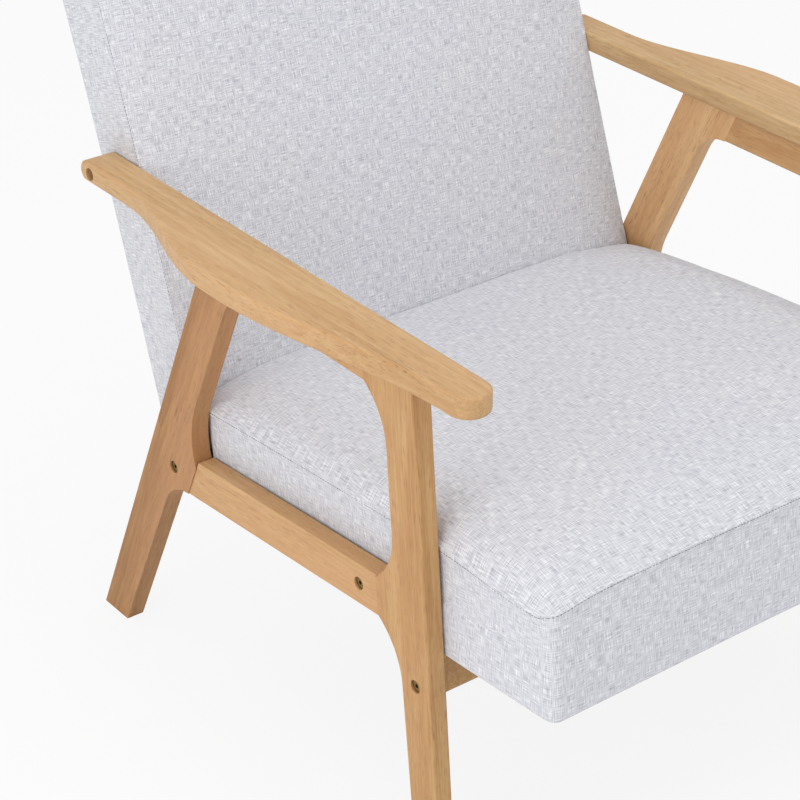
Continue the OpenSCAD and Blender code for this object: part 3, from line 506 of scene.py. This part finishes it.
def armrest(name, side, seed):
    obj = new_object(name + "_shown", arm_mesh(side), wood(name, 0, seed, *ARMREST_OAK, rings=1.3))
    mouth_x = ARM_X + ARM_REAR_W - ARM_MOUTH_DEEP
    past = 9
    bore(obj, MOUTH_D / 2, side, mouth_x, ARM_X + ARM_REAR_W + past)
    bore(obj, SHANK_HOLE_D / 2, side, ARM_X - past, mouth_x + past)
    smooth_shade(obj.data)
    obj.data.set_sharp_from_angle(angle=math.radians(38))
    even_normals(obj)
    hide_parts(name)
    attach(obj, "root")


armrest("left_armrest", -1, 20)
armrest("right_armrest", 1, 27)


# Cushions, in mm: x runs across, y along, and z up from the flat face
PITCH = 7  # between the points of the cloth
RIM_STEPS = (0, 1.6, 3.8, 6.8, 10.8, 16, 22.5)  # closer lines of points along the crown's edge
RIM_W = 28
SEAM_LIP = 1.2  # from the seam to the crown's edge
WALL_SHIFT = 900  # keeps the walls' threads apart from the crown's in the UV map

# A ring round a cushion: its height, how far it is set in, the y of its low and high ends, the radius
# of its corners, how much its low end is lifted, and how much of the seam's bow it follows
Level = namedtuple("Level", "z inset low high corner_r lift bow_share", defaults=(0, 0))

# The groove that a seam pulls in: (height from the seam, how far in)
GROOVE = ((-4.0, 0), (-1.9, 0.1), (-0.8, 0.3), (0, 0.8), (0.7, 0.3))

# Where the stitches stop, because the seat and the back hide each other's seams there
SEAT_STITCHED_TO = 560
BACK_STITCHED_FROM = 60


def rounded(u, w, half, low, high, r):
    """A point of a rectangle with round corners, where u and w run from -1 to 1 across and along it."""
    mid, run = (low + high) / 2, (high - low) / 2
    x, y = u * half, w * run
    a, b = abs(x) - (half - r), abs(y) - (run - r)
    if a > 0 and b > 0:
        k = max(a, b) / math.hypot(a, b)
        x = math.copysign(half - r + a * k, x)
        y = math.copysign(run - r + b * k, y)
    return x, mid + y


def steps(run):
    """Places from -1 to 1, about a pitch apart in the middle and finer towards the edges."""
    inner = run - RIM_W
    n = round(2 * inner / PITCH)
    side = [(run - e) / run for e in RIM_STEPS]
    return [-t for t in side] + [(2 * i / n - 1) * inner / run for i in range(n + 1)] + side[::-1]


class Cushion(namedtuple("Form", "half length draw waist bow seam low high corner_r rise end_run")):
    """A box cushion. Its sides draw in, most at the waist, and its seam bows up at the low end.

    half is half its width, low and high are the ends of the seam, rise(u, v) is the crown's height over
    it, and end_run says how far the crown's high end runs on for each mm that it rises.
    """

    def drawn(self, x, y, half, low, high):
        u, w = x / half, (2 * y - low - high) / (high - low)
        along = (y - self.waist) / (self.length - self.waist if y > self.waist else self.waist)
        return (x - self.draw * math.copysign(abs(u) ** 9, u) * (1 - along * along),
                y - self.draw * math.copysign(abs(w) ** 9, w) * (1 - u * u))

    def seam_rise(self, x, y):
        return self.bow * (1 - min(1, abs(x / self.half)) ** 8 / (1 + (y / SEAT_DIP_RUN) ** 4))

    def top(self, u, w):
        """A point of the crown."""
        x, y = rounded(u, w, self.half, self.low, self.high, self.corner_r)
        x, y = self.drawn(x, y, self.half, self.low, self.high)
        mid = (self.low + self.high) / 2
        v = (y - mid) / (self.high - mid)
        h = self.rise(min(1, abs(x / self.half)), max(-1, min(1, v))) + self.seam_rise(x, y)
        return Vector((x, y + h * self.end_run * max(0, v), self.seam + SEAM_LIP + h))

    def wall(self, u, w, level):
        """A point of the wall at a level, where lift raises the level's low end."""
        half, low, high = self.half - level.inset, level.low + level.inset, level.high - level.inset
        x, y = rounded(u, w, half, low, high, max(1, level.corner_r - level.inset))
        x, y = self.drawn(x, y, half, low, high)
        lift = level.lift * ((high - y) / (high - low)) ** 2
        return Vector((x, y, level.z + lift + level.bow_share * self.seam_rise(x, y)))

    def grid(self):
        """The crown's lines across and along it, and its outline as numbers of points."""
        us, ws = steps(self.half), steps((self.high - self.low) / 2)
        nx, ny = len(us), len(ws)
        rim = list(range(nx)) + [j * nx + nx - 1 for j in range(1, ny)]
        rim += [(ny - 1) * nx + i for i in range(nx - 2, -1, -1)] + [j * nx for j in range(ny - 2, 0, -1)]
        return us, ws, rim

    def outline(self, level):
        us, ws, rim = self.grid()
        return [self.wall(us[k % len(us)], ws[k // len(us)], level) for k in rim]

    def mesh(self, name, levels):
        """The cloth from the crown down to the lowest level, and how firmly each point is held."""
        us, ws, rim = self.grid()
        nx, ny, n = len(us), len(ws), len(rim)
        points = [self.top(u, w) for w in ws for u in us]
        faces = [(j * nx + i, j * nx + i + 1, (j + 1) * nx + i + 1, (j + 1) * nx + i)
                 for j in range(ny - 1) for i in range(nx - 1)]
        threads = [(points[k].x, points[k].y) for f in faces for k in f]
        held = [0.0] * len(points)
        run = [0.0]
        for i in range(n):
            held[rim[i]] = 1.0
            run.append(run[-1] + (points[rim[(i + 1) % n]] - points[rim[i]]).length)
        upper = rim
        above = [points[k] for k in rim]
        for level in reversed(levels):
            below = self.outline(level)
            rows = max(1, round(max((a - b).length for a, b in zip(above, below)) / PITCH))
            low_edge, groove = level.z < 8, level.z > self.seam - 4
            firm = 1.0 if low_edge or groove else 0.3
            for t in range(1, rows + 1):
                lower = list(range(len(points), len(points) + n))
                points += [a.lerp(b, t / rows) for a, b in zip(above, below)]
                held += [firm] * n
                for i in range(n):
                    j = (i + 1) % n
                    face = (lower[i], lower[j], upper[j], upper[i])
                    faces.append(face)
                    threads += [(run[i + e], points[k].z + WALL_SHIFT) for k, e in zip(face, (0, 1, 1, 0))]
                upper = lower
            above = below
        mesh = bpy.data.meshes.new(name)
        mesh.from_pydata([p * MM for p in points], [], faces)
        layer = mesh.uv_layers.new(name="threads")
        for loop, thread in zip(layer.data, threads):
            loop.uv = Vector(thread) * MM
        mesh.update()
        return mesh, held


def settle(obj, held, shrink=2 * MM, cap=2.5 * MM, pressure=4.0, frames=20):
    """Blows the cloth up from a slightly smaller form, with no point further from its place than cap."""
    mesh = obj.data
    places = [v.co.copy() for v in mesh.vertices]
    normals = [v.normal.copy() for v in mesh.vertices]
    group = obj.vertex_groups.new(name="held")
    for v, normal, firm in zip(mesh.vertices, normals, held):
        v.co -= normal * shrink * (1 - firm)
        if firm > 0:
            group.add([v.index], firm, "REPLACE")
    mod = obj.modifiers.new("cloth", "CLOTH")
    s = mod.settings
    s.quality = 4
    s.mass = 0.35
    s.tension_stiffness = s.compression_stiffness = 18
    s.shear_stiffness = 6
    s.bending_stiffness = 1.2
    s.use_pressure = True
    s.uniform_pressure_force = pressure
    s.effector_weights.gravity = 0
    s.vertex_group_mass = "held"
    mod.collision_settings.use_collision = False
    mod.point_cache.frame_start = 1
    mod.point_cache.frame_end = frames
    for f in range(1, frames + 1):
        bpy.context.scene.frame_set(f)
    apply_modifiers(obj)
    bpy.context.scene.frame_set(1)
    for v, place in zip(obj.data.vertices, places):
        move = v.co - place
        if move.length > cap:
            v.co = place + move * (cap / move.length)


def cushion(form, name, levels, place, wrinkle, replaced):
    """The cushion's cloth: settled, wrinkled by wrinkle(point), and put in its place."""
    mesh, held = form.mesh(name, levels)
    obj = new_object(name, mesh, linen_mat)
    settle(obj, held)
    mesh = obj.data
    normals = [v.normal.copy() for v in mesh.vertices]
    for v, normal, firm in zip(mesh.vertices, normals, held):
        v.co += normal * wrinkle(v.co) * (1 - 0.7 * firm)
    mesh.transform(place)
    smooth_shade(mesh)
    finer = obj.modifiers.new("finer", "SUBSURF")
    finer.levels = finer.render_levels = 1
    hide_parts(*replaced)
    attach(obj, "root")


def stitch(bm, at, along):
    """One dash of thread, round and thin at its ends."""
    out = along.cross(Vector((0, 0, 1))).normalized()
    up = out.cross(along)
    rings = []
    for t, r in ((-1.35, 0.12), (-1.0, 0.36), (1.0, 0.36), (1.35, 0.12)):
        centre = at + along * t - up * 0.05 * t
        rings.append([bm.verts.new((centre + (out * math.cos(k) + up * math.sin(k)) * r) * MM)
                      for k in [math.radians(60 * i) for i in range(6)]])
    join_rings(bm, rings)
    bm.faces.new(rings[0][::-1])
    bm.faces.new(rings[-1])


def stitching(form, name, place, shown, pitch=4.0):
    """Stitches along a cushion's seam, where the seam can be seen."""
    seam = Level(form.seam, 0.6, form.low, form.high, form.corner_r, bow_share=1)
    line = form.outline(seam)
    bm = bmesh.new()
    left = 0.0
    for a, b in zip(line, line[1:] + line[:1]):
        side = b - a
        while left < side.length:
            at = a.lerp(b, left / side.length)
            left += pitch
            if shown(at):
                stitch(bm, at, side.normalized())
        left -= side.length
    bmesh.ops.recalc_face_normals(bm, faces=bm.faces)
    mesh = mesh_of(bm, name)
    mesh.transform(place)
    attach(new_object(name, mesh, thread_mat), "root")


def arc_levels(r, low, high, corner_r):
    """The levels round a cushion's lower edge, from 18 mm in to full width."""
    levels = [Level(0, 18, low(0), high(0), corner_r)]
    for t in [math.radians(30 * i) for i in range(4)]:
        z = r * (1 - math.cos(t))
        levels.append(Level(z, r * (1 - math.sin(t)), low(z), high(z), corner_r))
    return levels


def ripple(c, scale):
    """Soft unevenness in metres, with finer unevenness on it."""
    return 0.9 * MM * noise.noise(c * scale) + 0.4 * MM * noise.noise(c * 30)


def puckers(along, across):
    """Small gathers that run a little way in from a seam: along it and across it, in metres."""
    return 0.6 * MM * math.exp(-across / 0.014) * noise.noise(Vector((along * 75, across * 9, 1.7)))


# Seat: y runs back from the front face, and behind the back cushion a lower ledge goes on.
# Its length, end and waist are rounded, because the simulation feels the smallest change.
def seat_end(z):
    return round(FACE_BASE - SOFT_GAP, 3) + z * FACE_RUN


def seat_rise(u, v):
    """The crown: full at the sides, round at the front, and lower and flatter under the back."""
    back = max(0, v)
    fullness = 30 - 25 * back ** 10
    return (SEAT_CROWN - SEAT_REST_DROP * back * back) * (1 - u ** fullness) * (1 - max(0, -v) ** 7)


def seat_wrinkle(c):
    d = ripple(c, 9)
    if c.z > 0.1:
        d += puckers(c.x, c.y) + puckers(c.y, SEAT_X * MM - abs(c.x))
    return d


seat_form = Cushion(SEAT_X, SEAT_LEN, SEAT_DRAW, waist=round(SEAT_LEN / 2, 1), bow=SEAT_BOW,
                    seam=SEAT_H, low=SEAT_SETBACK, high=seat_end(SEAT_H), corner_r=SEAT_SEAM_R,
                    rise=seat_rise, end_run=FACE_RUN)
seat_levels = arc_levels(SEAT_EDGE_R, lambda z: 0, lambda z: SEAT_LEN, SEAT_CORNER_R)
seat_levels += [Level(SEAT_LEDGE_H, 0, 0, SEAT_LEN, SEAT_CORNER_R),
                Level(SEAT_LEDGE_H, 0, 0, seat_end(SEAT_LEDGE_H), SEAT_CORNER_R, lift=8)]
seat_levels += [Level(SEAT_H + dz, inset, SEAT_SETBACK, seat_end(SEAT_H + dz), SEAT_SEAM_R, bow_share=1)
                for dz, inset in GROOVE]
cushion(seat_form, "seat_cushion", seat_levels, SEAT_FRAME, seat_wrinkle,
        ("seat_cover", "seat_foam"))
stitching(seat_form, "seat_stitching", SEAT_FRAME, lambda p: p.y < SEAT_STITCHED_TO)


# Back: y runs up from its foot, which is cut to stand on the seat's ledge, and z forwards from its rear
def back_foot(z):
    return (BACK_T - z) * FACE_RUN


def back_rise(u, v):
    return BACK_CROWN * (1 - u ** 7) * (1 - abs(v) ** 7)


back_form = Cushion(BACK_X, BACK_LEN, BACK_DRAW, waist=BACK_WAIST, bow=0, seam=BACK_SEAM,
                    low=back_foot(BACK_SEAM), high=BACK_LEN, corner_r=BACK_CORNER_R,
                    rise=back_rise, end_run=0)
back_levels = arc_levels(BACK_EDGE_R, back_foot, lambda z: BACK_LEN, BACK_CORNER_R)
back_levels += [Level(BACK_SEAM + dz, inset, back_foot(BACK_SEAM + dz), BACK_LEN, BACK_CORNER_R)
                for dz, inset in GROOVE]
cushion(back_form, "back_cushion", back_levels, LYING_BACK, lambda c: ripple(c, 8),
        ("back_cover", "back_foam", "back_rear_foam"))
stitching(back_form, "back_stitching", LYING_BACK, lambda p: p.y > BACK_STITCHED_FROM)


# Stretched cloth and webbing
CLOTH_PITCH = 12


def separate_solids(bm):
    """The vertices of each solid that hangs together."""
    left = set(bm.verts)
    while left:
        near, solid = [left.pop()], []
        while near:
            v = near.pop()
            solid.append(v)
            for e in v.link_edges:
                other = e.other_vert(v)
                if other in left:
                    left.remove(other)
                    near.append(other)
        yield solid


def boxes(node, place):
    """The box of each separate solid of a node, in the frame of place and in mm."""
    inward = place.inverted()
    bm = bmesh.new()
    bm.from_mesh(nodes[node].data)
    bmesh.ops.remove_doubles(bm, verts=bm.verts, dist=0.01 * MM)
    found = []
    for solid in separate_solids(bm):
        points = [(inward @ v.co) / MM for v in solid]
        found.append([(min(p[i] for p in points), max(p[i] for p in points)) for i in range(3)])
    bm.free()
    return sorted(found)


def cloth_layer(bm, xs, ys, z, sag):
    """Rows of points at height z. Broad cloth is held on four sides, a narrow strap at its ends."""
    narrow = len(ys) < 10
    rows = []
    for j, y in enumerate(ys):
        row = []
        for i, x in enumerate(xs):
            give = math.sin(math.pi * i / (len(xs) - 1))
            give *= 1 if narrow else math.sin(math.pi * j / (len(ys) - 1))
            uneven = 0.5 * noise.noise(Vector((x, y, 0)) * 0.02)
            row.append(bm.verts.new((x, y, z + (sag + uneven) * give)))
        rows.append(row)
    return rows


def close_cloth(bm, under, over):
    """The faces of both layers and of the four edges between them."""
    ny, nx = len(under) - 1, len(under[0]) - 1
    for j in range(ny):
        for i in range(nx):
            bm.faces.new((over[j][i], over[j][i + 1], over[j + 1][i + 1], over[j + 1][i]))
            bm.faces.new((under[j + 1][i], under[j + 1][i + 1], under[j][i + 1], under[j][i]))
    for j, way in ((0, 1), (ny, -1)):
        for i in range(nx):
            bm.faces.new((under[j][i], under[j][i + 1], over[j][i + 1], over[j][i])[::way])
    for i, way in ((0, -1), (nx, 1)):
        for j in range(ny):
            bm.faces.new((under[j][i], under[j + 1][i], over[j + 1][i], over[j][i])[::way])


def stretched(node, name, place, mat, sag):
    """Thin cloth or straps in the boxes of a node, giving by sag mm between their held ends."""
    bm = bmesh.new()
    for (x0, x1), (y0, y1), (z0, z1) in boxes(node, place):
        nx, ny = round((x1 - x0) / CLOTH_PITCH), round((y1 - y0) / CLOTH_PITCH)
        xs = [x0 + (x1 - x0) * i / nx for i in range(nx + 1)]
        ys = [y0 + (y1 - y0) * j / ny for j in range(ny + 1)]
        close_cloth(bm, cloth_layer(bm, xs, ys, z0, sag), cloth_layer(bm, xs, ys, z1, sag))
    uv = bm.loops.layers.uv.new("threads")
    for f in bm.faces:
        for loop in f.loops:
            loop[uv].uv = loop.vert.co.xy * MM
    mesh = mesh_of(bm, name)
    mesh.transform(place @ Matrix.Scale(MM, 4))
    smooth_shade(mesh)
    mesh.set_sharp_from_angle(angle=math.radians(50))
    obj = new_object(name, mesh, mat)
    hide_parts(node)
    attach(obj, "root")
    return obj


under_cover = stretched("seat_dust_cover", "seat_dust_cloth", SEAT_FRAME, dust_mat, -1.5)
rear_cloth = stretched("back_rear_panel", "back_rear_cloth", LYING_BACK, linen_mat, -1.5)
for part, place in (("seat", SEAT_FRAME), ("back", LYING_BACK)):
    straps = stretched(part + "_webbing", part + "_straps", place, webbing_mat, -2.5)

# The solids that show as they are, by the last word of their names
finishes = {"dowels": pine_mat, "rails": pine_mat, "rail": pine_mat, "blocks": pine_mat, "stiles": pine_mat,
            "bolts": brass_mat, "washers": brass_mat, "inserts": steel_mat, "nuts": steel_mat}
for name, obj in nodes.items():
    if not obj.hide_render:
        obj.data.materials.clear()
        obj.data.materials.append(finishes[name.split("_")[-1]])


# Floor, light and camera
def floor(half=6):
    """A pale floor that looks a little lighter to the camera than its light alone would make it."""
    s = Shader("floor")
    s.put(s.bsdf.inputs["Base Color"], (0.92, 0.92, 0.92, 1))
    s.put(s.bsdf.inputs["Roughness"], 1)
    s.put(s.bsdf.inputs["Specular IOR Level"], 0)
    glow = s.node("ShaderNodeEmission")
    s.put(glow.inputs["Color"], (0.975, 0.975, 0.975, 1))
    rays = s.node("ShaderNodeLightPath")
    both = s.node("ShaderNodeMixShader")
    s.put(both.inputs[0], s.math("MULTIPLY", rays.outputs["Is Camera Ray"], 0.89))
    s.put(both.inputs[1], s.bsdf.outputs[0])
    s.put(both.inputs[2], glow.outputs[0])
    s.put(s.tree.nodes["Material Output"].inputs["Surface"], both.outputs[0])
    mesh = bpy.data.meshes.new("floor")
    mesh.from_pydata([(-half, -half, 0), (half, -half, 0), (half, half, 0), (-half, half, 0)],
                     [], [(0, 1, 2, 3)])
    new_object("floor", mesh, s.mat)


def area(name, place, target, size, watts):
    """A soft rectangular light; places and sizes in metres."""
    data = bpy.data.lights.new(name, "AREA")
    data.shape = "RECTANGLE"
    data.size, data.size_y = size
    data.energy = watts
    obj = bpy.data.objects.new(name, data)
    bpy.context.collection.objects.link(obj)
    obj.location = place
    obj.rotation_euler = (Vector(target) - Vector(place)).to_track_quat("-Z", "Y").to_euler()


def surroundings(light=0.72, seen=1.0):
    """An even white world, which the camera sees brighter than it shines."""
    world = bpy.data.worlds.new("studio")
    world.use_nodes = True
    tree = world.node_tree
    background = tree.nodes["Background"]
    background.inputs["Color"].default_value = (1, 1, 1, 1)
    rays = tree.nodes.new("ShaderNodeLightPath")
    strength = tree.nodes.new("ShaderNodeMath")
    strength.operation = "MULTIPLY_ADD"
    strength.inputs[1].default_value = seen - light
    strength.inputs[2].default_value = light
    tree.links.new(rays.outputs["Is Camera Ray"], strength.inputs[0])
    tree.links.new(strength.outputs[0], background.inputs["Strength"])
    bpy.context.scene.world = world


def camera(place, azimuth, elevation, roll, lens):
    """The camera; angles in degrees, with the azimuth counted from the chair's front."""
    data = bpy.data.cameras.new("camera")
    data.sensor_width = 36
    data.lens = lens
    obj = bpy.data.objects.new("camera", data)
    bpy.context.collection.objects.link(obj)
    az, el = math.radians(azimuth), math.radians(elevation)
    away = Vector((math.sin(az) * math.cos(el), -math.cos(az) * math.cos(el), math.sin(el)))
    turned = away.to_track_quat("Z", "Y").to_matrix() @ Matrix.Rotation(math.radians(roll), 3, "Z")
    obj.rotation_euler = turned.to_euler()
    obj.location = place
    bpy.context.scene.camera = obj


floor()
area("key", (-2.6, -0.5, 1.25), (0, -0.05, 0.4), (2.2, 1.6), 24)
area("top", (0, -0.5, 3.0), (0, 0, 0.3), (2.4, 2.4), 28)
area("front", (0.6, -3.2, 1.2), (0, 0, 0.4), (2.0, 1.4), 7)
surroundings()
camera(spot(-1521.0, -2115.4, 1644.1), azimuth=-37.464, elevation=29.805, roll=-0.048, lens=112.55)
bpy.context.scene.view_settings.view_transform = "Standard"
